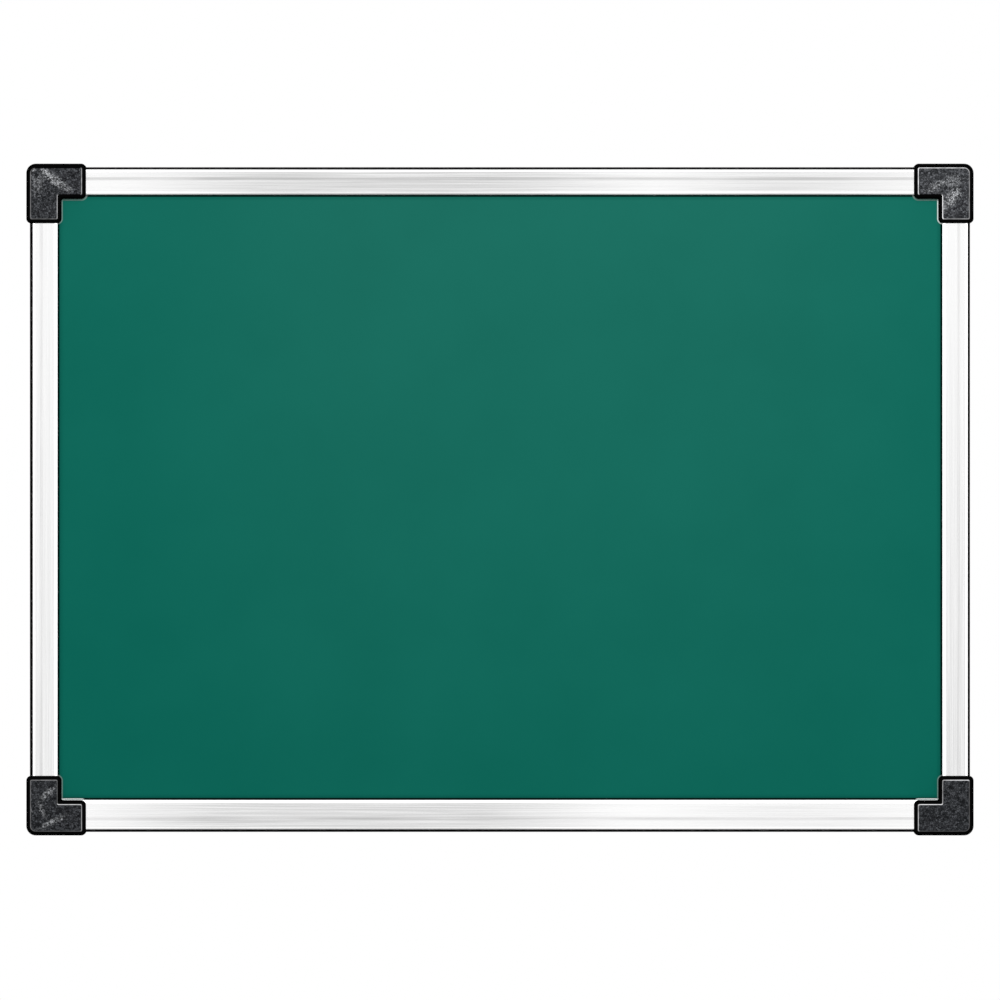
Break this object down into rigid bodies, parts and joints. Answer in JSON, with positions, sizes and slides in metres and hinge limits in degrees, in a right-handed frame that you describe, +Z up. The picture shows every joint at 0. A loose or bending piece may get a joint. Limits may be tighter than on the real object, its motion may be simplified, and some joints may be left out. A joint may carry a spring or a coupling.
{
  "type": "chalkboard",
  "caption": "Landscape green wall chalkboard: glued steel-faced panel in a slim aluminium frame with black plastic corner caps, hung by swinging D-rings on the back.",
  "frame": {"origin": "on the wall plane, which the backs of the corner caps touch, behind the middle of the board", "axes": "+X to the viewer's right, +Z up, +Y back into the wall, so the writing surface faces -Y"},
  "size_m": [0.5984, 0.0174, 0.4244],
  "materials": {
    "writing_enamel": "matt green enamel on thin steel",
    "core": "soft fibreboard with raw edges",
    "back_sheet": "galvanised steel with faint spangle",
    "rail": "lengthwise brushed, clear anodised",
    "cap": "black moulded plastic, grained face and smooth rounded edges",
    "screw": "bright zinc plate",
    "hanger": "zinc-plated sheet steel",
    "ring": "bright plated wire",
    "rivet": "plain aluminium"
  },
  "bodies": {
    "board": {"back_sheet": "back_sheet", "core_panel": "core", "writing_sheet": "writing_enamel", "rail_top": "rail", "rail_bottom": "rail", "rail_left": "rail", "rail_right": "rail", "corner_cap_top_left": "cap", "corner_cap_top_right": "cap", "corner_cap_bottom_right": "cap", "corner_cap_bottom_left": "cap", "corner_screw_1": "screw", "corner_screw_2": "screw", "corner_screw_3": "screw", "corner_screw_4": "screw", "corner_screw_5": "screw", "corner_screw_6": "screw", "corner_screw_7": "screw", "corner_screw_8": "screw", "hanger_strap_left": "hanger", "hanger_rivet_left": "rivet", "hanger_strap_right": "hanger", "hanger_rivet_right": "rivet"},
    "left_ring": {"hanger_ring_left": "ring"},
    "right_ring": {"hanger_ring_right": "ring"}
  },
  "joints": [
    {"name": "left_ring_swing", "type": "hinge", "parent": "board", "child": "left_ring", "pos_m": [-0.289, -0.0016, 0.105], "axis": [1, 0, 0], "range_deg": [0, 184]},
    {"name": "right_ring_swing", "type": "hinge", "parent": "board", "child": "right_ring", "pos_m": [0.289, -0.0016, 0.105], "axis": [1, 0, 0], "range_deg": [0, 184]}
  ]
}
